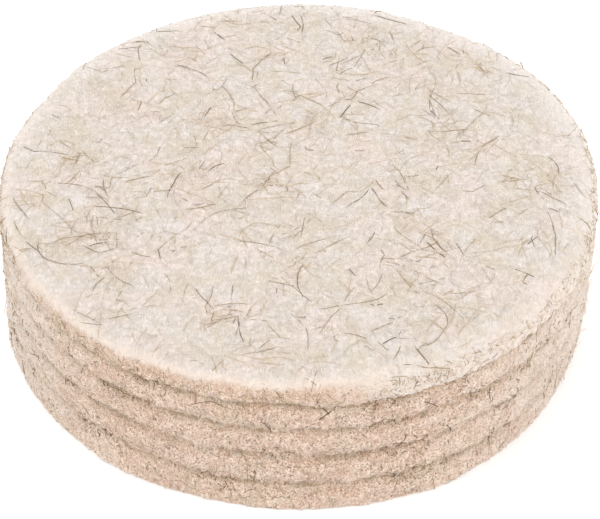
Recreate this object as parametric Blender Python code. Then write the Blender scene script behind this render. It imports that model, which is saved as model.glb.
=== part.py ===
"""Felt polishing wheel: five discs of natural wool felt, bonded face to face into one round pad.

Metres, +Z up. The wheel lies on z = 0 with its centre on the Z axis, and its working face looks up.
Each felt disc is a ply. Thin bond layers hold the plies together, and stop short of the side wall.
"""

from itertools import accumulate, pairwise
from math import cos, pi, radians, sin, tau

import bmesh
import bpy

# Driving dimensions
WHEEL_DIAMETER = 0.0762
WHEEL_THICKNESS = 0.0207
PLY_SHARES = (0.155, 0.200, 0.210, 0.225, 0.210)  # of the thickness, from the working face down
BOND_THICKNESS = 0.0002
BOND_CLEARANCE = 0.00005  # above and below each bond layer
BOND_INSET = 0.0018  # from the side wall to the bond layer's edge

# The plies' rims are rounded, so that the side wall has a groove at each joint
FACE_RIM_ROUNDING = 0.0014  # around the working face
BACK_RIM_ROUNDING = 0.0010  # around the back
GROOVE_ROUNDING = 0.0011  # on both sides of each groove

# Roundness of the turned shapes
AROUND = 72
PER_ROUNDING = 3

# Derived sizes
WHEEL_RADIUS = WHEEL_DIAMETER / 2
PLY_GAP = BOND_THICKNESS + 2 * BOND_CLEARANCE
MERGE_DISTANCE = 1e-6
SHARP_ANGLE = radians(50)

PLY_NAMES = (
    "felt_ply_1_working_face",
    "felt_ply_2",
    "felt_ply_3",
    "felt_ply_4",
    "felt_ply_5_back",
)
WORKING_FACE_FELT = (0.80, 0.70, 0.62)
CUT_EDGE_FELT = (0.74, 0.61, 0.51)
BOND_GLUE = (0.33, 0.24, 0.15)


def clear_scene():
    for thing in list(bpy.data.objects):
        bpy.data.objects.remove(thing)


def plain_material(name, colour, roughness):
    material = bpy.data.materials.new(name)
    material.use_nodes = True
    surface = material.node_tree.nodes["Principled BSDF"]
    surface.inputs["Base Color"].default_value = (*colour, 1.0)
    surface.inputs["Roughness"].default_value = roughness
    surface.inputs["Metallic"].default_value = 0.0
    return material


def quarter_arc(centre_x, centre_z, rounding, start):
    """Points of a quarter circle in the XZ plane, turning clockwise from the angle start."""
    angles = [start - pi / 2 * step / PER_ROUNDING for step in range(PER_ROUNDING + 1)]
    return [(centre_x + rounding * cos(a), centre_z + rounding * sin(a)) for a in angles]


def ply_outline(low, high, low_rounding, high_rounding):
    """Half of a ply's section: from the axis along its top, down the rounded rim, and back below."""
    top_rim = quarter_arc(WHEEL_RADIUS - high_rounding, high - high_rounding, high_rounding, pi / 2)
    low_rim = quarter_arc(WHEEL_RADIUS - low_rounding, low + low_rounding, low_rounding, 0.0)
    return [(0.0, high), *top_rim, *low_rim, (0.0, low)]


def bond_outline(low, high):
    """Half of a bond layer's section, which has square edges."""
    radius = WHEEL_RADIUS - BOND_INSET
    return [(0.0, high), (radius, high), (radius, low), (0.0, low)]


def turned_solid(name, outline, material, wheel):
    """The closed solid that an outline from axis to axis sweeps around the Z axis."""
    bm = bmesh.new()
    points = [bm.verts.new((x, 0.0, z)) for x, z in outline]
    lines = [bm.edges.new(pair) for pair in pairwise(points)]
    bmesh.ops.spin(
        bm,
        geom=points + lines,
        cent=(0.0, 0.0, 0.0),
        axis=(0.0, 0.0, 1.0),
        angle=tau,
        steps=AROUND,
        use_merge=True,
    )
    bmesh.ops.remove_doubles(bm, verts=bm.verts, dist=MERGE_DISTANCE)
    bmesh.ops.recalc_face_normals(bm, faces=bm.faces)
    mesh = bpy.data.meshes.new(name)
    bm.to_mesh(mesh)
    bm.free()
    mesh.shade_smooth()
    mesh.set_sharp_from_angle(angle=SHARP_ANGLE)
    mesh.materials.append(material)
    solid = bpy.data.objects.new(name, mesh)
    solid.parent = wheel
    bpy.context.collection.objects.link(solid)
    return solid


def joint_heights():
    """Heights of the middles of the joints, from the highest to the lowest."""
    depths = list(accumulate(PLY_SHARES))[:-1]
    return [WHEEL_THICKNESS * (1.0 - depth) for depth in depths]


def build_plies(joints, wheel):
    tops = [WHEEL_THICKNESS, *(height - PLY_GAP / 2 for height in joints)]
    bottoms = [*(height + PLY_GAP / 2 for height in joints), 0.0]
    high_roundings = [FACE_RIM_ROUNDING, *(GROOVE_ROUNDING for _ in joints)]
    low_roundings = [*(GROOVE_ROUNDING for _ in joints), BACK_RIM_ROUNDING]
    colours = [WORKING_FACE_FELT, *(CUT_EDGE_FELT for _ in joints)]
    for ply in zip(PLY_NAMES, bottoms, tops, low_roundings, high_roundings, colours):
        name, low, high, low_rounding, high_rounding, colour = ply
        felt = plain_material(f"{name}_wool", colour, roughness=0.95)
        outline = ply_outline(low, high, low_rounding, high_rounding)
        turned_solid(name, outline, felt, wheel)


def build_bond_layers(joints, wheel):
    for number, height in enumerate(joints, start=1):
        name = f"bond_layer_{number}"
        glue = plain_material(f"{name}_glue", BOND_GLUE, roughness=0.6)
        outline = bond_outline(height - BOND_THICKNESS / 2, height + BOND_THICKNESS / 2)
        turned_solid(name, outline, glue, wheel)


def build_wheel():
    wheel = bpy.data.objects.new("felt_wheel", None)
    bpy.context.collection.objects.link(wheel)
    joints = joint_heights()
    build_plies(joints, wheel)
    build_bond_layers(joints, wheel)


clear_scene()
build_wheel()
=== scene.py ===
from itertools import pairwise, product
from math import cos, pi, radians, sin, tau
from typing import NamedTuple

import bpy
import numpy as np
from mathutils import Matrix, Vector
from mathutils.bvhtree import BVHTree


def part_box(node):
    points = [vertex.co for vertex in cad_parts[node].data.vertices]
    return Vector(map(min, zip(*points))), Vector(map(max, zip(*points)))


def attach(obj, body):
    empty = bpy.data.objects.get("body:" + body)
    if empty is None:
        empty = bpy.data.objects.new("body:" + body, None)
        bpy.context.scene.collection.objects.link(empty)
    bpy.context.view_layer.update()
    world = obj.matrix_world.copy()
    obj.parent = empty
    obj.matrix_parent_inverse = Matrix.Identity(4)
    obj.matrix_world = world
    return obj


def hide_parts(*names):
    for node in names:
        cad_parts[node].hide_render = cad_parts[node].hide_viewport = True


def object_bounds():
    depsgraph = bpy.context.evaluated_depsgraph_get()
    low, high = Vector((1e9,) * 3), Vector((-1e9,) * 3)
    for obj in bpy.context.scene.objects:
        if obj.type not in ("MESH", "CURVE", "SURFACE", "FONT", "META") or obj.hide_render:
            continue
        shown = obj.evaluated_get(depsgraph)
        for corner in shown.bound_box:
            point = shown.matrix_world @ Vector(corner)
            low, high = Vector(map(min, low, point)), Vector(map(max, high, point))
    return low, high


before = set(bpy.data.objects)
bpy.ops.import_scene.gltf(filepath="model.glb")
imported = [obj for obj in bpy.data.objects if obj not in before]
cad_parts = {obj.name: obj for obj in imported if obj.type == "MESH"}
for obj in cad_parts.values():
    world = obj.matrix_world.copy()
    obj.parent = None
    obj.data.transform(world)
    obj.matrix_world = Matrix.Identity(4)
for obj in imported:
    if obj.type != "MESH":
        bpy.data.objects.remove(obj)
cad_low, cad_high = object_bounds()

# ---------------------------------------------------------------- sizes, all in metres
MM = 0.001
RADIUS = (cad_high.x - cad_low.x) / 2
THICKNESS = cad_high.z - cad_low.z
DIAMETER = 2 * RADIUS
PLIES = ("felt_ply_1_working_face", "felt_ply_2", "felt_ply_3", "felt_ply_4", "felt_ply_5_back")
BONDS = ("bond_layer_1", "bond_layer_2", "bond_layer_3", "bond_layer_4")
JOINTS = [(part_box(upper)[0].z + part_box(lower)[1].z) / 2 for upper, lower in pairwise(PLIES)]
PLY_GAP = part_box(PLIES[0])[0].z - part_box(PLIES[1])[1].z
BOND_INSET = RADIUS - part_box(BONDS[0])[1].x
BOND_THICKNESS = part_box(BONDS[0])[1].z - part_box(BONDS[0])[0].z

RIM_ROUNDING = 2.8 * MM
BACK_ROUNDING = 0.35 * MM
GROOVE_DEPTH = 0.46 * MM
GROOVE_SHARPNESS = 2.5  # how suddenly a ply's side turns into a groove
GROOVE_STAIN = 0.6 * MM  # height of the stained felt on each side of a joint
LIP_GAP = 0.006 * MM  # between two plies in the groove, where their felt meets again
LEAN = 0.5 * MM  # how far the back sits towards -X of the working face
FACE_SHIFT = 0.3 * MM  # how far the working face sits towards +X of the CAD's axis
STACK_TILT = 0.8 * MM  # how far the joints drop towards +X
FILM_SETBACK = 0.3 * MM  # from the CAD's bond layer edge to the glue's ragged edge
TANGLE_MARGIN = 5 * MM  # from the side wall to the outermost tangles
HAIR_MARGIN = 1.8 * MM  # from the side wall to the outermost hairs on a face
TUFT_MARGIN = 1.6 * MM  # the same for hairs that a tangle or tuft pushes outwards

# Rows of points down each ply's side and points around it, and cells across a face that can be seen
ROWS = (32, 40, 40, 40, 38)
AROUND = (1024, 2048, 2048, 2048, 2048)
FACE_CELLS = {0: 256, 4: 128}
INNER_ROWS = 2  # rows of a groove that run on from its lip to the glue, between the plies
TUBE_SIDES = 4  # of each hair
HAIR_SEED = 6


# ---------------------------------------------------------------- noise
def lattice_values(cells, seed):
    """A repeatable random number from -1 to 1 for each integer cell."""
    mixed = cells[:, 0] * 73856093 ^ cells[:, 1] * 19349663 ^ cells[:, 2] * 83492791
    mixed = (mixed ^ (seed * 2654435761)) & 0xFFFFFFFF
    for _ in range(2):
        mixed = ((mixed >> 15) ^ mixed) * 0x45D9F3B & 0xFFFFFFFF
    return ((mixed >> 8) & 0xFFFF) / 32767.5 - 1.0


def noise(points, cell, seed):
    """Smooth noise from -1 to 1, with about one bump in each cell metres."""
    places = np.asarray(points, float) / cell + 0.37
    corner = np.floor(places).astype(np.int64)
    part = places - corner
    ease = part * part * (3.0 - 2.0 * part)
    total = np.zeros(len(places))
    for step in product((0, 1), repeat=3):
        weight = np.prod(np.where(step, ease, 1.0 - ease), axis=1)
        total += weight * lattice_values(corner + np.array(step), seed)
    return total


def layered_noise(points, layers, seed):
    """The sum of noises, each given as (cell, height)."""
    return sum(height * noise(points, cell, seed + i) for i, (cell, height) in enumerate(layers))


def on_circle(angles, height=0.0):
    """Points around the wheel's side, for noise that closes on itself."""
    flat = np.zeros_like(angles) + height
    return np.stack([RADIUS * np.cos(angles), RADIUS * np.sin(angles), flat], axis=-1)


# ---------------------------------------------------------------- meshes
def mesh_object(name, points, faces, smooth=True):
    """A mesh object from an array of points and a list of arrays of faces."""
    blocks = [np.asarray(block, np.int32) for block in faces]
    corners = np.concatenate([block.ravel() for block in blocks])
    counts = np.concatenate([np.full(len(block), block.shape[1], np.int32) for block in blocks])
    starts = np.concatenate([[0], np.cumsum(counts)[:-1]]).astype(np.int32)
    mesh = bpy.data.meshes.new(name)
    mesh.vertices.add(len(points))
    mesh.vertices.foreach_set("co", np.asarray(points, np.float32).ravel())
    mesh.loops.add(len(corners))
    mesh.loops.foreach_set("vertex_index", corners)
    mesh.polygons.add(len(counts))
    mesh.polygons.foreach_set("loop_start", starts)
    mesh.update(calc_edges=True)
    mesh.validate()
    if smooth:
        mesh.shade_smooth()
    made = bpy.data.objects.new(name, mesh)
    bpy.context.scene.collection.objects.link(made)
    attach(made, "root")
    return made


def point_values(made, name, values):
    """Stores a number at each point of a mesh, for its material."""
    layer = made.data.attributes.new(name, "FLOAT", "POINT")
    layer.data.foreach_set("value", np.asarray(values, np.float32).ravel())


def ring_angles(count):
    """Evenly spaced angles, starting at a corner of the square that disc_grid presses into a disc."""
    return -pi / 4 + tau * np.arange(count) / count


def band_faces(rows, across):
    """Quads between successive closed rings of points, from the highest ring down."""
    row, column = np.meshgrid(np.arange(rows - 1), np.arange(across), indexing="ij")
    here = row * across + column
    beside = row * across + (column + 1) % across
    return np.stack([here, here + across, beside + across, beside], axis=-1).reshape(-1, 4)


def fan_faces(centre, ring):
    """Triangles from a centre point to a closed ring of points, facing up."""
    return np.stack([np.full(len(ring), centre), ring, np.roll(ring, -1)], axis=-1)


def stitch_faces(outer, inner):
    """Triangles, facing up, between a ring of points and one inside it that has fewer points."""
    ratio = len(outer) // len(inner)
    index = np.arange(len(outer))
    apex = inner[(index + ratio // 2) // ratio % len(inner)]
    outer_faces = np.stack([outer, np.roll(outer, -1), apex], axis=-1)
    turn = (np.arange(1, len(inner) + 1) * ratio - ratio // 2) % len(outer)
    inner_faces = np.stack([inner, outer[turn], np.roll(inner, -1)], axis=-1)
    return np.concatenate([outer_faces, inner_faces])


def disc_grid(cells):
    """A square grid pressed into the unit disc: its points, its quads, and its edge points in order."""
    line = np.linspace(-1.0, 1.0, cells + 1)
    a, b = np.meshgrid(line, line, indexing="ij")
    wide = np.abs(a) > np.abs(b)
    safe_a = np.where(a == 0, 1.0, a)
    safe_b = np.where(b == 0, 1.0, b)
    reach = np.where(wide, a, b)
    angle = np.where(wide, pi / 4 * b / safe_a, pi / 2 - pi / 4 * a / safe_b)
    x = reach * np.cos(angle)
    y = reach * np.sin(angle)
    index = np.arange((cells + 1) ** 2).reshape(cells + 1, cells + 1)
    faces = np.stack([index[:-1, :-1], index[1:, :-1], index[1:, 1:], index[:-1, 1:]], axis=-1)
    edge = np.concatenate([index[-1, :-1], index[::-1, -1][:-1], index[0, ::-1][:-1], index[:-1, 0]])
    return np.stack([x.ravel(), y.ravel()], axis=1), faces.reshape(-1, 4), edge


def tangle_places(count, seed):
    """Places on the faces where hairs are matted together, with a weight from 0 to 1 each."""
    rng = np.random.default_rng(seed)
    reach = (RADIUS - TANGLE_MARGIN) * np.sqrt(rng.random(count))
    angle = tau * rng.random(count)
    return np.column_stack([reach * np.cos(angle), reach * np.sin(angle), rng.random(count) ** 1.5])


TANGLES = tangle_places(count=70, seed=9)


# ---------------------------------------------------------------- the felt's shape
def joint_height(number, angles):
    """Height at which a joint between two plies meets the side wall: tilted, wavy and ragged."""
    waves = ((17 * MM, 0.30 * MM), (6 * MM, 0.25 * MM), (2.2 * MM, 0.22 * MM), (0.9 * MM, 0.20 * MM))
    ragged = layered_noise(on_circle(angles), waves, 40 + 7 * number)
    return JOINTS[number] - STACK_TILT * np.cos(angles) + ragged


def groove_depth(number, angles):
    """How deep a groove is around the wheel."""
    swing = layered_noise(on_circle(angles), ((13 * MM, 0.4), (4 * MM, 0.3)), 90 + 5 * number)
    # Grooves are made shallower where the side's limbs are painted bright.
    limb_shallowing = 0.6 * limb_brightening(angles, JOINTS[number])
    return GROOVE_DEPTH * np.clip(0.95 + 0.9 * swing, 0.35, 1.7) * (1.0 - limb_shallowing)


def dent(angles, heights, azimuth, level, spread, rise):
    """A smooth dent's depth from 0 to 1, centred on an azimuth and a level."""
    aside = np.arctan2(np.sin(angles - azimuth), np.cos(angles - azimuth)) / spread
    return np.exp(-(aside**2) - ((heights - level) / rise) ** 2)


def side_radius(angles, heights):
    """Radius of the side before its grooves and grain: nearly round, and not quite."""
    around = on_circle(angles, heights)
    waves = layered_noise(around, ((26 * MM, 0.22 * MM), (9 * MM, 0.13 * MM)), 11)
    swollen = 0.55 * MM * dent(angles, heights, radians(28), THICKNESS, radians(24), 9 * MM)
    swollen += 0.50 * MM * dent(angles, heights, radians(-64), 2 * MM, radians(24), 5 * MM)
    pinched = 0.30 * MM * dent(angles, heights, radians(-18), 0.0, radians(14), 4 * MM)
    return RADIUS - 0.05 * MM + waves + swollen - pinched


def lean(heights):
    """Sideways shift of a level, because the plies aren't stacked quite true."""
    return -LEAN * (1.0 - heights / THICKNESS) ** 1.5 + FACE_SHIFT


def wall_grain(points):
    """Outward height of the cut edge's nubs, which have narrow crevices between them."""
    swells = layered_noise(points, ((3.4 * MM, 0.13 * MM), (1.6 * MM, 0.10 * MM)), 200)
    nubs = 0.24 * MM * np.abs(noise(points, 1.05 * MM, 210))
    nubs += 0.26 * MM * np.abs(noise(points, 0.60 * MM, 211))
    nubs += 0.20 * MM * np.abs(noise(points, 0.34 * MM, 212))
    return swells + nubs - 0.22 * MM


def face_grain(points):
    """Height of the soft lumps of a pressed face."""
    layers = ((12 * MM, 0.14 * MM), (4.5 * MM, 0.09 * MM), (1.7 * MM, 0.05 * MM), (0.8 * MM, 0.035 * MM))
    return layered_noise(points, layers, 300)


def limb_brightening(angles, heights):
    """How far the side is made smoother and paler, at its left and further round on its right: its colour
    there is painted paler as painted light on the limbs, and its grooves are made shallower and its hairs
    fewer.
    """
    to_right = np.clip((np.cos(angles) - 0.36) / 0.56, 0.0, 1.0)
    to_left = np.clip((-np.cos(angles) - 0.55) / 0.40, 0.0, 1.0)
    return np.maximum(to_right, to_left) ** 1.8 * (0.65 + 0.35 * heights / THICKNESS)


def worn_rim(angles):
    """Where the pressed face's felt laps over the rim down to the first joint: all along the right."""
    return np.clip((0.65 * np.cos(angles) + 0.35 * np.sin(angles) + 0.46) / 0.32, 0.0, 1.0)


def painted_rim_highlight(points):
    """How far the felt is painted white as a painted highlight, from 0 to 1: at the rim, and most at its far
    side and left, where light wraps round it.
    """
    flat = np.hypot(points[:, 0], points[:, 1])
    angles = np.arctan2(points[:, 1], points[:, 0])
    near_rim = np.clip((flat - RADIUS + 5.5 * MM) / (5.5 * MM), 0.0, 1.0) ** 1.5
    far_side = np.clip(0.4 + 0.6 * np.sin(angles), 0.12, 1.0)
    beside = np.clip((np.abs(np.cos(angles)) - 0.85) / 0.15, 0.0, 1.0)
    return 0.85 * near_rim * np.maximum(far_side, 0.35 * beside)


def rim_rows(count, split, end, rounding, around):
    """Rows of a ply's outline from its side over a rounded rim."""
    turn = np.linspace(0.0, pi / 2, count)[:, None] * np.ones(around)
    return {
        "inset": rounding * (1.0 - np.cos(turn)),
        "height": split + (end - split) * np.sin(turn),
        "turned": np.sign(end - split) * turn,
        "groove": np.zeros_like(turn),
        "loose": np.ones_like(turn),
    }


def groove_rows(count, split, joint, side, depth):
    """Rows of a ply's outline from its side into a groove, and on between the plies to the glue."""
    share = np.linspace(0.0, 1.0, count - INNER_ROWS)[:, None] * np.ones(len(depth))
    lip = joint - side * LIP_GAP / 2
    near = (1.0 - share) * np.abs(lip - split) / GROOVE_STAIN
    inner = np.full((INNER_ROWS, len(depth)), 0.5)
    inner_inset = np.stack([depth + 0.5 * MM, np.full(len(depth), BOND_INSET)])
    inner_height = np.stack([joint - side * (LIP_GAP + PLY_GAP) / 4, joint - side * PLY_GAP / 2])
    return {
        "inset": np.concatenate([depth * share**GROOVE_SHARPNESS, inner_inset]),
        "height": np.concatenate([split + (lip - split) * share, inner_height]),
        "turned": np.zeros((count, len(depth))),
        "groove": np.concatenate([np.exp(-(near**2)) * depth / GROOVE_DEPTH, inner]),
        "loose": np.concatenate([np.ones_like(share), inner * [[0.8], [0.0]]]),
    }


def ply_rows(number, angles):
    """All rows of a ply's side, from its top to its bottom."""
    count, around = ROWS[number], AROUND[number]
    is_face, is_back = number == 0, number == len(PLIES) - 1
    high = THICKNESS if is_face else joint_height(number - 1, angles)
    low = 0.0 if is_back else joint_height(number, angles)
    split = (high + low) / 2
    if is_face:
        rounding = np.minimum(RIM_ROUNDING, 0.72 * (THICKNESS - low))
        split = THICKNESS - rounding
        upper = rim_rows(count * 2 // 3, split, high, rounding, around)
    else:
        if is_back:
            split = BACK_ROUNDING
        upper_count = count * 3 // 4 if is_back else count // 2
        upper = groove_rows(upper_count, split, high, 1, groove_depth(number - 1, angles))
    lower_count = count - len(upper["inset"])
    if is_back:
        lower = rim_rows(lower_count, split, low, BACK_ROUNDING, around)
    else:
        lower = groove_rows(lower_count, split, low, -1, groove_depth(number, angles))
    return {key: np.concatenate([upper[key][::-1], lower[key][1:]]) for key in upper}


def ply_side(number):
    """The points of a ply's side, row by row, and what its material needs to know at each of them."""
    angles = ring_angles(AROUND[number])
    rows = ply_rows(number, angles)
    flat = {key: values.ravel() for key, values in rows.items()}
    turns = np.tile(angles, len(rows["inset"]))
    reach = side_radius(turns, flat["height"]) - flat["inset"]
    place = on_circle(turns, flat["height"])
    place[:, :2] *= (reach / RADIUS)[:, None]
    place[:, 0] += lean(flat["height"])
    outward = on_circle(turns) / RADIUS * np.cos(flat["turned"])[:, None]
    outward[:, 2] = np.sin(flat["turned"])
    on_face = np.sin(np.abs(flat["turned"])) ** 2
    nubs = wall_grain(place)
    grain = flat["loose"] * (nubs * (1.0 - on_face) + face_grain(place) * on_face)
    if number == len(PLIES) - 1:
        grain = grain * (1.0 - on_face)
    place += outward * grain[:, None]
    place[:, 2] = np.maximum(place[:, 2], 0.0)
    # The wall's relief height, which the material uses for painted shade in the crevices and painted
    # highlight on the nubs.
    lumpy = np.clip(0.5 + nubs / (0.5 * MM), 0.0, 1.0)
    pressed = np.abs(flat["turned"]) / (pi / 2)
    if number == 0:
        depth = (THICKNESS - flat["height"]) / (THICKNESS - JOINTS[0])
        pressed = np.maximum(pressed, 0.85 * worn_rim(turns) * (1.0 - 0.3 * depth))
    # Painted light: how far the side's colour is painted paler at its left and right limbs.
    painted_limb_light = limb_brightening(turns, flat["height"])
    return place, {"pressed": pressed, "groove": flat["groove"], "grain": lumpy, "painted_limb_light": painted_limb_light}


def round_face(cells, ring_points, ring, first, height, facing_up):
    """The points and faces of a pressed face that closes a ring, as seen from above."""
    unit, grid_faces, edge = disc_grid(cells)
    centre = ring_points.mean(axis=0)
    ring_reach = np.hypot(ring_points[:, 0] - centre[0], ring_points[:, 1] - centre[1])
    angles = np.arctan2(unit[:, 1], unit[:, 0])
    reach = np.interp(angles, ring_angles(len(ring)), ring_reach, period=tau) - 0.3 * MM
    points = np.column_stack([centre[:2] + unit * reach[:, None], np.full(len(unit), height)])
    grain = face_grain(points)
    points[:, 2] += grain if facing_up else 0.3 * np.abs(grain)
    return points, [grid_faces + first, stitch_faces(ring, edge + first)]


def matting(points):
    """How matted the felt is with dark hairs at each point, from 0 to 1."""
    total = np.zeros(len(points))
    for x, y, weight in TANGLES:
        apart = (points[:, 0] - x) ** 2 + (points[:, 1] - y) ** 2
        total += weight * np.exp(-apart / (1.6 * MM) ** 2)
    return np.minimum(total, 1.0)


def sharpen_lips(ply, number):
    """Stops smooth shading at the lips of a ply's grooves, where its side turns inwards."""
    upper_lip, lower_lip = INNER_ROWS, ROWS[number] - 2 - INNER_ROWS
    lips = ([] if number == 0 else [upper_lip]) + ([] if number == len(PLIES) - 1 else [lower_lip])
    edges = np.empty(2 * len(ply.data.edges), np.int32)
    ply.data.edges.foreach_get("vertices", edges)
    rows = edges.reshape(-1, 2) // AROUND[number]
    sharp = (rows[:, 0] == rows[:, 1]) & np.isin(rows[:, 0], lips)
    layer = ply.data.attributes.new("sharp_edge", "BOOLEAN", "EDGE")
    layer.data.foreach_set("value", sharp)


def build_ply(number):
    """One felt ply as a closed mesh."""
    around, rows = AROUND[number], ROWS[number] - 1
    side, values = ply_side(number)
    points = [side]
    faces = [band_faces(rows, around)]
    ends = ((True, np.arange(around), THICKNESS), (False, np.arange(around) + (rows - 1) * around, 0.0))
    count = len(side)
    for facing_up, ring, height in ends:
        outer = (number == 0) if facing_up else (number == len(PLIES) - 1)
        if outer:
            cap, cap_faces = round_face(FACE_CELLS[number], side[ring], ring, count, height, facing_up)
        else:
            cap = side[ring].mean(axis=0, keepdims=True)
            cap_faces = [fan_faces(count, ring)]
        points.append(cap)
        faces += cap_faces if facing_up else [block[:, ::-1] for block in cap_faces]
        count += len(cap)
    all_points = np.concatenate(points)
    ply = mesh_object(PLIES[number] + "_felt", all_points, faces)
    for name, on_a_face in (("pressed", 1.0), ("groove", 0.0), ("grain", 0.5), ("painted_limb_light", 0.0)):
        point_values(ply, name, np.append(values[name], np.full(count - len(side), on_a_face)))
    point_values(ply, "matted", matting(all_points))
    # Painted highlight: how far the rim is painted white, as if lit from behind and at the sides.
    point_values(ply, "painted_rim_highlight", painted_rim_highlight(all_points))
    sharpen_lips(ply, number)
    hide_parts(PLIES[number])
    return ply


def build_bond(number):
    """One film of glue between two plies, with a ragged edge."""
    angles = ring_angles(512)
    ragged = layered_noise(on_circle(angles), ((3 * MM, 0.12 * MM), (0.9 * MM, 0.12 * MM)), 500 + number)
    reach = RADIUS - BOND_INSET - FILM_SETBACK + ragged
    x = reach * np.cos(angles) + lean(JOINTS[number])
    y = reach * np.sin(angles)
    middle = joint_height(number, angles)
    half = BOND_THICKNESS / 2
    centres = [[0.0, 0.0, JOINTS[number] + half], [0.0, 0.0, JOINTS[number] - half]]
    rings = [np.stack([x, y, middle + half], axis=1), np.stack([x, y, middle - half], axis=1)]
    count = len(angles)
    top, bottom = np.arange(count), np.arange(count) + count
    faces = [band_faces(2, count), fan_faces(2 * count, top), fan_faces(2 * count + 1, bottom)[:, ::-1]]
    film = mesh_object(BONDS[number] + "_glue", np.concatenate([*rings, centres]), faces, smooth=False)
    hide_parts(BONDS[number])
    return film


# ---------------------------------------------------------------- materials
class Recipe:
    """A material being put together from nodes, in the wheel's own coordinates."""

    def __init__(self, name, roughness=0.9):
        self.material = bpy.data.materials.new(name)
        self.material.use_nodes = True
        self.tree = self.material.node_tree
        self.surface = self.tree.nodes["Principled BSDF"]
        self.surface.inputs["Roughness"].default_value = roughness
        self.place = self.tree.nodes.new("ShaderNodeTexCoord").outputs["Object"]

    def set(self, socket, value):
        if isinstance(value, bpy.types.NodeSocket):
            self.tree.links.new(value, socket)
        elif isinstance(value, tuple) and len(value) == 3 and socket.type == "RGBA":
            socket.default_value = (*value, 1.0)
        else:
            socket.default_value = value

    def noise(self, size, detail=2.0, roughness=0.5, distortion=0.0, place=None):
        """Noise with features about size metres across."""
        node = self.tree.nodes.new("ShaderNodeTexNoise")
        self.set(node.inputs["Vector"], place or self.place)
        node.inputs["Scale"].default_value = 1.0 / size
        node.inputs["Detail"].default_value = detail
        node.inputs["Roughness"].default_value = roughness
        node.inputs["Distortion"].default_value = distortion
        return node.outputs["Fac"]

    def math(self, operation, a, b=0.0):
        node = self.tree.nodes.new("ShaderNodeMath")
        node.operation = operation
        self.set(node.inputs[0], a)
        self.set(node.inputs[1], b)
        return node.outputs[0]

    def between(self, value, low, high, out_low=0.0, out_high=1.0):
        """Takes low..high to out_low..out_high, smoothly, and holds the ends."""
        node = self.tree.nodes.new("ShaderNodeMapRange")
        node.interpolation_type = "SMOOTHSTEP"
        self.set(node.inputs["Value"], value)
        node.inputs["From Min"].default_value = low
        node.inputs["From Max"].default_value = high
        node.inputs["To Min"].default_value = out_low
        node.inputs["To Max"].default_value = out_high
        return node.outputs[0]

    def mix(self, share, a, b):
        node = self.tree.nodes.new("ShaderNodeMix")
        node.data_type = "RGBA"
        self.set(node.inputs[0], share)
        self.set(node.inputs[6], a)
        self.set(node.inputs[7], b)
        return node.outputs[2]

    def stored(self, name):
        node = self.tree.nodes.new("ShaderNodeAttribute")
        node.attribute_name = name
        return node.outputs["Fac"]

    def turned(self, angle, stretch=(1.0, 1.0, 1.0), push=None):
        """The wheel's coordinates turned about Z and squeezed, so that noise makes streaks."""
        place = self.place
        if push is not None:
            added = self.tree.nodes.new("ShaderNodeVectorMath")
            added.operation = "ADD"
            self.set(added.inputs[0], place)
            self.set(added.inputs[1], push)
            place = added.outputs[0]
        node = self.tree.nodes.new("ShaderNodeMapping")
        self.set(node.inputs["Vector"], place)
        node.inputs["Rotation"].default_value = (0.0, 0.0, angle)
        node.inputs["Scale"].default_value = stretch
        return node.outputs[0]

    def warp(self, size, reach):
        """A smooth sideways push of up to about reach metres."""
        node = self.tree.nodes.new("ShaderNodeTexNoise")
        self.set(node.inputs["Vector"], self.place)
        node.inputs["Scale"].default_value = 1.0 / size
        centred = self.tree.nodes.new("ShaderNodeVectorMath")
        centred.operation = "SUBTRACT"
        self.set(centred.inputs[0], node.outputs["Color"])
        centred.inputs[1].default_value = (0.5, 0.5, 0.5)
        scaled = self.tree.nodes.new("ShaderNodeVectorMath")
        scaled.operation = "SCALE"
        self.set(scaled.inputs[0], centred.outputs[0])
        scaled.inputs["Scale"].default_value = 2.0 * reach
        return scaled.outputs[0]

    def fibres(self, width, length, layers, start, low, high):
        """Fine crossing streaks from 0 to 1, as wool fibres lie in felt."""
        total = None
        for layer in range(layers):
            push = self.warp((2.5 + layer) * MM, 0.9 * MM)
            place = self.turned(start + pi * layer / layers, (1.0, 1.0 / length, 1.0), push)
            streak = self.between(self.noise(width, 1.0, place=place), low, high)
            total = streak if total is None else self.math("MAXIMUM", total, streak)
        return total

    def bump(self, height, distance, strength=1.0):
        node = self.tree.nodes.new("ShaderNodeBump")
        node.inputs["Strength"].default_value = strength
        node.inputs["Distance"].default_value = distance
        self.set(node.inputs["Height"], height)
        self.set(self.surface.inputs["Normal"], node.outputs[0])


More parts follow.
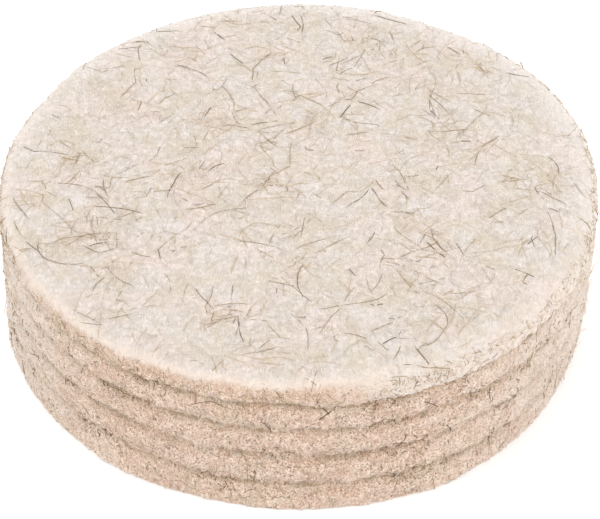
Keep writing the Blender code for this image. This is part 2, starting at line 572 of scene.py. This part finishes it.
def pressed_felt(felt, strands):
    """Colour of a pressed face: cool cream clouds, yellower where it is thin, with faint fibres."""
    clouds = felt.noise(4.2 * MM, detail=4.0, roughness=0.62, distortion=0.5)
    pinkness = felt.noise(5.5 * MM, detail=2.0, place=felt.turned(0.7))
    mottle = felt.noise(0.7 * MM, detail=3.0, roughness=0.65)
    flecks = felt.noise(0.55 * MM, detail=1.0, place=felt.turned(1.3))
    threads = felt.fibres(0.10 * MM, 12.0, 3, 0.4, 0.58, 0.76)
    colour = felt.mix(felt.between(clouds, 0.36, 0.62), (0.590, 0.503, 0.395), (0.672, 0.610, 0.574))
    colour = felt.mix(felt.between(pinkness, 0.45, 0.64, 0.0, 0.7), colour, (0.705, 0.572, 0.522))
    colour = felt.mix(felt.between(mottle, 0.30, 0.62, 0.7, 0.0), colour, (0.490, 0.420, 0.355))
    colour = felt.mix(felt.between(mottle, 0.5, 0.72, 0.0, 0.65), colour, (0.755, 0.695, 0.655))
    colour = felt.mix(felt.between(flecks, 0.65, 0.75, 0.0, 0.5), colour, (0.55, 0.43, 0.31))
    colour = felt.mix(felt.math("MULTIPLY", threads, 0.26), colour, (0.42, 0.36, 0.29))
    colour = felt.mix(felt.math("MULTIPLY", strands, 0.35), colour, (0.760, 0.697, 0.653))
    matted = felt.math("MULTIPLY", felt.stored("matted"), felt.between(mottle, 0.6, 0.36, 0.35, 0.8))
    colour = felt.mix(matted, colour, (0.55, 0.45, 0.33))
    lapped = felt.between(felt.stored("pressed"), 0.98, 0.62, 0.0, 0.6)
    colour = felt.mix(lapped, colour, (0.775, 0.650, 0.555))
    # Painted highlight: the rim whitened as if lit from behind and at the sides.
    return felt.mix(felt.stored("painted_rim_highlight"), colour, (0.83, 0.79, 0.755))


def cut_felt(felt, nubs):
    """Colour of a cut edge: pinkish, painted lighter on the nubs' tops as painted highlight and darker in the
    crevices between them as painted shade, and stained where the plies meet.
    """
    lumps = felt.noise(2.6 * MM, detail=2.0, roughness=0.6)
    yellowness = felt.noise(4.2 * MM, detail=2.0, place=felt.turned(2.1))
    specks = felt.noise(0.19 * MM, detail=2.0, roughness=0.7)
    colour = felt.mix(felt.between(lumps, 0.36, 0.62), (0.605, 0.388, 0.275), (0.745, 0.535, 0.415))
    colour = felt.mix(felt.between(yellowness, 0.52, 0.70, 0.0, 0.6), colour, (0.62, 0.475, 0.325))
    # Painted highlight on the nubs' tops and painted shade in the crevices, following the relief's height.
    colour = felt.mix(felt.between(nubs, 0.50, 0.63, 0.0, 0.85), colour, (0.86, 0.70, 0.58))
    colour = felt.mix(felt.between(nubs, 0.47, 0.30, 0.0, 0.8), colour, (0.35, 0.22, 0.14))
    patches = felt.noise(2.6 * MM, detail=3.0, roughness=0.65)
    rough = felt.math("ADD", patches, felt.math("MULTIPLY", felt.stored("groove"), 0.12))
    speckled = felt.between(rough, 0.42, 0.62, 0.40, 1.0)
    dark_specks = felt.math("MULTIPLY", felt.between(specks, 0.48, 0.37), speckled)
    colour = felt.mix(dark_specks, colour, (0.22, 0.13, 0.08))
    colour = felt.mix(felt.between(specks, 0.55, 0.66, 0.0, 0.9), colour, (0.90, 0.755, 0.64))
    # Painted light: a paler, duller colour where the limbs catch the light.
    limb_light_colour = felt.mix(felt.between(lumps, 0.36, 0.62), (0.665, 0.580, 0.495), (0.765, 0.700, 0.635))
    colour = felt.mix(felt.math("MULTIPLY", felt.stored("painted_limb_light"), 0.95), colour, limb_light_colour)
    under_rim = felt.between(felt.stored("pressed"), 0.04, 0.36, 0.0, 0.4)
    colour = felt.mix(under_rim, colour, (0.60, 0.43, 0.335))
    stained = felt.math("MULTIPLY", felt.stored("groove"), felt.between(patches, 0.38, 0.60, 0.12, 0.75))
    return felt.mix(stained, colour, (0.34, 0.24, 0.14))


def felt_material():
    """Undyed wool felt: clouded cream on a pressed face, granular and pinkish on a cut edge."""
    felt = Recipe("wool_felt", roughness=0.95)
    strands = felt.fibres(0.12 * MM, 10.0, 5, 0.0, 0.52, 0.75)
    fine_nubs = felt.noise(0.30 * MM, detail=3.0, roughness=0.75)
    # The relief's height, so that the cut edge's colour is painted lighter on the nubs and darker in the
    # crevices.
    coarse = felt.math("MULTIPLY", felt.math("SUBTRACT", felt.stored("grain"), 0.5), 0.22)
    nubs = felt.math("ADD", fine_nubs, coarse)
    ragged = felt.noise(1.6 * MM, detail=3.0, roughness=0.6)
    wander = felt.noise(9.0 * MM, detail=1.0)
    fine_wander = felt.math("MULTIPLY", felt.math("SUBTRACT", ragged, 0.5), 0.5)
    broad_wander = felt.math("MULTIPLY", felt.math("SUBTRACT", wander, 0.5), 0.3)
    border = felt.math("ADD", felt.math("ADD", felt.stored("pressed"), fine_wander), broad_wander)
    is_pressed = felt.between(border, 0.33, 0.62)
    colour = felt.mix(is_pressed, cut_felt(felt, nubs), pressed_felt(felt, strands))
    felt.set(felt.surface.inputs["Base Color"], colour)
    rough = felt.between(is_pressed, 0.0, 1.0, 1.0, 0.4)
    height = felt.math("ADD", felt.math("MULTIPLY", strands, 0.4), felt.math("MULTIPLY", fine_nubs, rough))
    felt.bump(height, 0.2 * MM, 0.9)
    felt.surface.inputs["Sheen Weight"].default_value = 0.7
    felt.surface.inputs["Sheen Roughness"].default_value = 0.4
    felt.surface.inputs["Sheen Tint"].default_value = (1.0, 0.96, 0.92, 1.0)
    felt.surface.inputs["Specular IOR Level"].default_value = 0.2
    return felt.material


def glue_material():
    """Brown glue, mottled where it has soaked into the felt."""
    glue = Recipe("soaked_glue", roughness=0.7)
    spots = glue.noise(1.2 * MM, detail=3.0, roughness=0.6)
    colour = glue.mix(glue.between(spots, 0.35, 0.65), (0.22, 0.15, 0.08), (0.45, 0.33, 0.2))
    glue.set(glue.surface.inputs["Base Color"], colour)
    glue.bump(spots, 0.1 * MM, 0.5)
    return glue.material


def hair_material(name, deep, pale):
    """A hair between two colours, as its stored tone says."""
    hair = Recipe(name, roughness=0.75)
    hair.set(hair.surface.inputs["Base Color"], hair.mix(hair.stored("tone"), deep, pale))
    hair.surface.inputs["Specular IOR Level"].default_value = 0.1
    return hair.material


# ---------------------------------------------------------------- hairs
def on_skin(points):
    """The nearest point of a smooth round pad's surface to each point, and its outward direction."""
    rounding = RIM_ROUNDING
    flat = np.hypot(points[:, 0], points[:, 1])
    inner = np.minimum(flat, RADIUS - rounding) / np.maximum(flat, 1e-9)
    core = np.stack([
        points[:, 0] * inner,
        points[:, 1] * inner,
        np.clip(points[:, 2], rounding, THICKNESS - rounding),
    ], axis=1)
    away = points - core
    away /= np.maximum(np.linalg.norm(away, axis=1, keepdims=True), 1e-9)
    return core + rounding * away, away


def turned_about(vectors, axes, angles):
    """Each vector turned about its axis, which stands square to it."""
    side = np.cross(axes, vectors)
    return vectors * np.cos(angles)[:, None] + side * np.sin(angles)[:, None]


def hair_routes(rng, starts, headings, lengths, bend, kinked, count):
    """Points along hairs that lie on the pad, which curve, curve back, and in places kink."""
    hairs = len(starts)
    steady = bend * np.clip(rng.standard_t(3.0, hairs), -4.0, 4.0)
    swing = bend * np.clip(rng.standard_t(3.0, hairs), -4.0, 4.0)
    phase = tau * rng.random(hairs)
    wobble = rng.normal(0.0, 3.0 * bend, (count, hairs))
    kink_at = np.where(rng.random(hairs) < kinked, rng.integers(1, count - 1, hairs), -1)
    kink_turn = rng.choice([-1.0, 1.0], hairs) * rng.uniform(0.4, 1.4, hairs)
    where, normal = on_skin(starts)
    level = np.abs(normal[:, 2:]) > 0.7
    helper = np.where(level, [[1.0, 0.0, 0.0]], [[0.0, 0.0, 1.0]])
    tangent = np.cross(helper, normal)
    tangent /= np.linalg.norm(tangent, axis=1, keepdims=True)
    tangent = turned_about(tangent, normal, headings)
    step = lengths / (count - 1)
    route, normals = [where], [normal]
    for i in range(1, count):
        curve = steady + swing * np.cos(phase + 0.9 * tau * i / count) + wobble[i]
        tangent = turned_about(tangent, normal, curve * step + np.where(kink_at == i, kink_turn, 0.0))
        where, normal = on_skin(where + tangent * step[:, None])
        tangent -= normal * (tangent * normal).sum(axis=1, keepdims=True)
        tangent /= np.linalg.norm(tangent, axis=1, keepdims=True)
        route.append(where)
        normals.append(normal)
    return np.stack(route, axis=1), np.stack(normals, axis=1)


def settle(route, normals, skin, lift):
    """Lowers the routes onto the felt's real surface, as smoothly as a stiff hair lies, plus lift."""
    hairs, count, _ = route.shape
    depth = np.zeros((hairs, count))
    reach = 4 * MM
    for h in range(hairs):
        for i in range(count):
            start = Vector(route[h, i] + normals[h, i] * reach)
            hit = skin.ray_cast(start, Vector(-normals[h, i]), 3 * reach)
            depth[h, i] = reach - hit[3] if hit[0] is not None else 0.0
    for _ in range(2):
        padded = np.pad(depth, ((0, 0), (1, 1)), mode="edge")
        depth = (padded[:, :-2] + 2 * padded[:, 1:-1] + padded[:, 2:]) / 4
    settled = route + normals * (depth + lift)[:, :, None]
    settled[:, :, 2] = np.maximum(settled[:, :, 2], 0.0)
    return settled


def tubes(name, route, normals, thickness, tones, material):
    """Thin closed tubes along the routes, tapering to both ends."""
    hairs, count, _ = route.shape
    tangent = np.gradient(route, axis=1)
    tangent /= np.maximum(np.linalg.norm(tangent, axis=2, keepdims=True), 1e-12)
    side = np.cross(tangent, normals)
    side /= np.maximum(np.linalg.norm(side, axis=2, keepdims=True), 1e-12)
    over = np.cross(side, tangent)
    along = np.linspace(0.0, 1.0, count)
    taper = np.minimum(1.0, 0.4 + 7.0 * np.minimum(along, 1.0 - along))
    radius = thickness[:, None] / 2 * taper
    turns = [tau * corner / TUBE_SIDES for corner in range(TUBE_SIDES)]
    corners = [side * cos(a) + over * sin(a) for a in turns]
    rings = np.stack([route + radius[:, :, None] * corner for corner in corners], axis=2)
    h, i, c = np.meshgrid(*map(np.arange, (hairs, count - 1, TUBE_SIDES)), indexing="ij")
    here = (h * count + i) * TUBE_SIDES + c
    beside = (h * count + i) * TUBE_SIDES + (c + 1) % TUBE_SIDES
    sides = np.stack([here, beside, beside + TUBE_SIDES, here + TUBE_SIDES], axis=-1).reshape(-1, 4)
    first = np.arange(hairs)[:, None] * count * TUBE_SIDES
    last = first + (count - 1) * TUBE_SIDES
    end = np.arange(TUBE_SIDES)
    caps = np.concatenate([first + end[::-1], last + end])
    made = mesh_object(name, rings.reshape(-1, 3), [sides, caps])
    made.data.materials.append(material)
    point_values(made, "tone", np.repeat(tones.ravel(), TUBE_SIDES))
    return made


def spots_on_face(rng, count, height):
    """Random places on a round face with a heading each: some apart, some in tangles and tufts."""
    reach = (RADIUS - HAIR_MARGIN) * np.sqrt(rng.random(count))
    angle = tau * rng.random(count)
    spots = np.stack([reach * np.cos(angle), reach * np.sin(angle)], axis=1)
    headings = tau * rng.random(count)
    share = rng.random(count)
    tangle = rng.choice(len(TANGLES), count, p=TANGLES[:, 2] / TANGLES[:, 2].sum())
    tangled = share < 0.28
    spots[tangled] = TANGLES[tangle[tangled], :2] + rng.normal(0.0, 1.7 * MM, (tangled.sum(), 2))
    tuft = rng.integers(0, max(count // 40, 1), count)
    tufted = share > 0.9
    spots[tufted] = spots[tuft[tufted]] + rng.normal(0.0, 0.8 * MM, (tufted.sum(), 2))
    headings[tufted] = headings[tuft[tufted]] + rng.normal(0.0, 0.4, tufted.sum())
    far = np.linalg.norm(spots, axis=1)
    spots *= np.minimum(1.0, (RADIUS - TUFT_MARGIN) / np.maximum(far, 1e-9))[:, None]
    return np.column_stack([spots, np.full(count, height)]), headings


def spots_on_wall(rng, count, clumping=0.0):
    """Random places on the side wall with a heading each, gathered in clumps."""
    tries = 4 * count
    angle = tau * rng.random(tries)
    level = THICKNESS * (0.02 + 0.94 * rng.random(tries))
    spots = on_circle(angle, level)
    clumps = layered_noise(spots, ((4 * MM, 1.0), (1.5 * MM, 1.0)), 700)
    crowd = np.clip(1.0 + clumping * clumps, 0.02, None)
    # Fewer hairs where the side's limbs are painted bright.
    crowd *= 1.0 - min(clumping, 0.8) * limb_brightening(angle, level)
    picked = rng.choice(tries, count, replace=False, p=crowd / crowd.sum())
    return spots[picked], tau * rng.random(count)


def spots_in_grooves(rng, count):
    """Places along the grooves with a heading each, in patches, nearly level."""
    tries = 4 * count
    angle = tau * rng.random(tries)
    number = rng.integers(0, len(JOINTS), tries)
    height = np.choose(number, [joint_height(i, angle) for i in range(len(JOINTS))])
    level = height + rng.normal(0.0, 0.55 * MM, tries)
    clumps = layered_noise(on_circle(angle, level), ((7 * MM, 0.8), (2.5 * MM, 1.2)), 720)
    crowd = np.clip(clumps, 0.05, None) ** 2.5
    picked = rng.choice(tries, count, replace=False, p=crowd / crowd.sum())
    headings = rng.normal(0.0, 1.0, count) + pi * rng.integers(0, 2, count)
    return on_circle(angle, level)[picked], headings


def spots_on_rim(rng, count):
    """Places along the edge between the pressed face and the cut side, with a heading each."""
    angle = tau * rng.random(count)
    level = THICKNESS - rng.uniform(0.3, 2.2, count) * MM
    return on_circle(angle, level), tau * rng.random(count)


def sizes(least, median, most):
    return (least * MM, median * MM, most * MM)


class Coat(NamedTuple):
    """Hairs of one kind. length and width are (least, median, most). bend is in radians per metre."""

    name: str
    seed: int
    count: int
    kind: str
    length: tuple
    width: tuple
    bend: float
    kinked: float = 0.15
    points: int = 12
    stray: float = 0.0
    rise: float = 0.07 * MM
    clumping: float = 0.0


GUARD = sizes(0.7, 2.7, 9.0)
SHORT = sizes(0.6, 1.7, 6.0)
STUB = sizes(0.12, 0.28, 0.7)
THIN = sizes(0.04, 0.065, 0.11)
FINE = sizes(0.03, 0.05, 0.08)
FACE_COATS = (
    Coat("dark_hairs", 21, 95, "dark", GUARD, sizes(0.045, 0.073, 0.11), bend=45.0, kinked=0.25),
    Coat("brown_hairs", 22, 290, "brown", GUARD, THIN, bend=60.0, kinked=0.3),
    Coat("golden_hairs", 23, 620, "golden", GUARD, sizes(0.035, 0.055, 0.09), bend=90.0, points=10),
    Coat("wool_fibres", 24, 2400, "pale", sizes(0.8, 2.4, 6.0), FINE, bend=160.0, points=10),
)
WALL_COATS = (
    Coat(
        "dark_hairs_side", 31, 80, "dark", sizes(0.6, 2.2, 8.0), sizes(0.045, 0.075, 0.12),
        bend=110.0, stray=0.08, clumping=0.7,
    ),
    Coat("brown_hairs_side", 32, 260, "brown", SHORT, THIN, bend=150.0, stray=0.1, clumping=0.6),
    Coat("golden_hairs_side", 33, 700, "golden", SHORT, FINE, bend=200.0, points=10, stray=0.1, clumping=0.4),
    Coat("wool_fibres_side", 34, 2500, "rosy", sizes(0.5, 1.5, 4.5), FINE, bend=250.0, points=8, stray=0.3),
    Coat(
        "dark_stubs", 36, 1100, "dark", STUB, sizes(0.03, 0.06, 0.10),
        bend=300.0, points=4, stray=0.5, clumping=1.2,
    ),
    Coat(
        "brown_stubs", 37, 3200, "brown", STUB, sizes(0.03, 0.055, 0.09),
        bend=300.0, points=4, stray=0.5, clumping=0.8,
    ),
    Coat(
        "pale_stubs", 38, 6000, "rosy", sizes(0.15, 0.4, 0.9), sizes(0.04, 0.07, 0.11),
        bend=300.0, points=4, stray=0.7,
    ),
)
RIM_COATS = (
    Coat("rim_fringe_golden", 40, 900, "golden", sizes(0.3, 0.7, 2.0), FINE, bend=250.0, points=6, stray=0.2),
    Coat("rim_fringe_brown", 41, 420, "brown", sizes(0.2, 0.45, 1.5), FINE, bend=250.0, points=6, stray=0.2),
)
GROOVE_COATS = (
    Coat(
        "groove_hairs_brown", 35, 1300, "brown", sizes(0.3, 0.9, 3.0), FINE,
        bend=300.0, points=8, rise=0.15 * MM,
    ),
    Coat(
        "groove_hairs_dark", 39, 760, "dark", sizes(0.3, 0.8, 3.0), THIN,
        bend=240.0, points=7, rise=0.2 * MM,
    ),
)


def grow(coat, name, spots, hair, skin):
    """The hairs of one coat at some spots, as one mesh."""
    starts, headings = spots
    rng = np.random.default_rng(coat.seed)
    count, points = len(starts), coat.points
    lengths = coat.length[1] * np.exp(rng.normal(0.0, 0.6, count))
    lengths = np.clip(lengths, coat.length[0], coat.length[2])
    widths = coat.width[1] * np.exp(rng.normal(0.0, 0.3, count))
    widths = np.clip(widths, coat.width[0], coat.width[2])
    route, normals = hair_routes(rng, starts, headings, lengths, coat.bend, coat.kinked, points)
    along = np.linspace(0.0, 1.0, points)
    wave = np.sin(tau * (along * rng.uniform(0.4, 1.6, (count, 1)) + rng.random((count, 1))))
    lift = 0.02 * MM + coat.rise * rng.random((count, 1)) * wave
    reaching = (rng.random(count) < coat.stray)[:, None] * rng.uniform(0.3, 1.0, (count, 1))
    lift = lift + reaching * lengths[:, None] * 0.35 * along**2
    tones = np.clip(rng.normal(0.4, 0.28, (count, 1)) + 0.25 * wave, 0.0, 1.0)
    return tubes(name, settle(route, normals, skin, lift), normals, widths, tones, hair[coat.kind])


# ---------------------------------------------------------------- build
def all_plies():
    felt = felt_material()
    plies = [build_ply(number) for number in range(len(PLIES))]
    for ply in plies:
        ply.data.materials.append(felt)
    glue = glue_material()
    for number in range(len(BONDS)):
        build_bond(number).data.materials.append(glue)
    return plies


def skin_of(plies):
    """The felt's whole surface, for finding where hairs touch it."""
    points, faces, start = [], [], 0
    for ply in plies:
        mesh = ply.data
        mesh.calc_loop_triangles()
        places = np.empty(3 * len(mesh.vertices), np.float32)
        mesh.vertices.foreach_get("co", places)
        corners = np.empty(3 * len(mesh.loop_triangles), np.int32)
        mesh.loop_triangles.foreach_get("vertices", corners)
        points += places.reshape(-1, 3).tolist()
        faces += (corners.reshape(-1, 3) + start).tolist()
        start += len(mesh.vertices)
    return BVHTree.FromPolygons(points, faces, all_triangles=True)


def all_hairs(plies):
    skin = skin_of(plies)
    hair = {
        "dark": hair_material("guard_hair_dark", (0.040, 0.023, 0.006), (0.23, 0.140, 0.058)),
        "brown": hair_material("guard_hair_brown", (0.21, 0.140, 0.066), (0.40, 0.290, 0.170)),
        "golden": hair_material("guard_hair_golden", (0.45, 0.335, 0.200), (0.61, 0.49, 0.345)),
        "pale": hair_material("wool_fibre", (0.54, 0.47, 0.40), (0.80, 0.735, 0.69)),
        "rosy": hair_material("wool_fibre_rosy", (0.54, 0.385, 0.28), (0.88, 0.74, 0.63)),
    }
    rng = np.random.default_rng(HAIR_SEED)
    for face, height, share in (("face", THICKNESS, 1.0), ("back", 0.0, 0.6)):
        for coat in FACE_COATS:
            spots = spots_on_face(rng, int(coat.count * share), height)
            grow(coat, f"{coat.name}_{face}", spots, hair, skin)
    for coat in WALL_COATS:
        grow(coat, coat.name, spots_on_wall(rng, coat.count, coat.clumping), hair, skin)
    for coat in RIM_COATS:
        grow(coat, coat.name, spots_on_rim(rng, coat.count), hair, skin)
    for coat in GROOVE_COATS:
        grow(coat, coat.name, spots_in_grooves(rng, coat.count), hair, skin)


# ---------------------------------------------------------------- studio
def build_camera():
    """A long lens looking down on the working face from the front."""
    elevation, roll = radians(40.3), radians(-0.63)
    distance, aim_x, aim_y = 3.697, 0.005, -0.2095  # in wheel diameters
    face_centre = Vector((0.0, 0.0, THICKNESS))
    eye = face_centre + Vector((0.0, -cos(elevation), sin(elevation))) * distance * DIAMETER
    aim = face_centre + Vector((aim_x, aim_y, 0.0)) * DIAMETER
    forward = (aim - eye).normalized()
    right = forward.cross(Vector((0.0, 0.0, 1.0))).normalized()
    up = right.cross(forward)
    rolled_right = right * cos(roll) + up * sin(roll)
    rolled_up = up * cos(roll) - right * sin(roll)
    camera = bpy.data.objects.new("camera", bpy.data.cameras.new("camera"))
    turn = Matrix((rolled_right, rolled_up, -forward)).transposed().to_4x4()
    camera.matrix_world = Matrix.Translation(eye) @ turn
    camera.data.sensor_width = 36.0
    camera.data.lens = 133.1
    camera.data.clip_start = 0.01
    camera.data.clip_end = 20.0
    bpy.context.scene.collection.objects.link(camera)
    bpy.context.scene.camera = camera


def build_floor():
    """A wide white floor, a hair's breadth under the wheel."""
    half, level = 6.0, -0.02 * MM
    corners = [(-half, -half, level), (half, -half, level), (half, half, level), (-half, half, level)]
    mesh = bpy.data.meshes.new("floor")
    mesh.from_pydata(corners, [], [(0, 1, 2, 3)])
    floor = bpy.data.objects.new("floor", mesh)
    bpy.context.scene.collection.objects.link(floor)
    paper = bpy.data.materials.new("floor_paper")
    paper.use_nodes = True
    surface = paper.node_tree.nodes["Principled BSDF"]
    surface.inputs["Base Color"].default_value = (0.98, 0.98, 0.98, 1.0)
    surface.inputs["Roughness"].default_value = 1.0
    surface.inputs["Specular IOR Level"].default_value = 0.0
    mesh.materials.append(paper)


def soft_light(name, place, size, power):
    """A round lamp that faces the wheel."""
    lamp = bpy.data.lights.new(name, "AREA")
    lamp.shape = "DISK"
    lamp.size = size
    lamp.energy = power
    light = bpy.data.objects.new(name, lamp)
    light.location = place
    aim = Vector((0.0, 0.0, THICKNESS / 2))
    light.rotation_euler = (aim - Vector(place)).to_track_quat("-Z", "Y").to_euler()
    bpy.context.scene.collection.objects.link(light)


def build_lights():
    """White surroundings, with large soft lamps above and at both sides."""
    world = bpy.data.worlds.new("studio")
    world.use_nodes = True
    world.node_tree.nodes["Background"].inputs["Color"].default_value = (1.0, 1.0, 1.0, 1.0)
    world.node_tree.nodes["Background"].inputs["Strength"].default_value = 0.65
    bpy.context.scene.world = world
    soft_light("overhead", (-0.05, 0.05, 0.9), 0.6, 2.0)
    soft_light("front", (0.2, -0.9, 0.55), 0.6, 3.7)
    soft_light("back", (0.0, 1.0, 0.36), 0.6, 4.0)
    soft_light("right_side", (0.85, -0.35, 0.4), 0.5, 4.5)
    soft_light("left_side", (-0.85, -0.25, 0.4), 0.5, 4.7)
    bpy.context.scene.view_settings.view_transform = "Standard"


build_camera()
build_floor()
build_lights()
felt_plies = all_plies()
all_hairs(felt_plies)
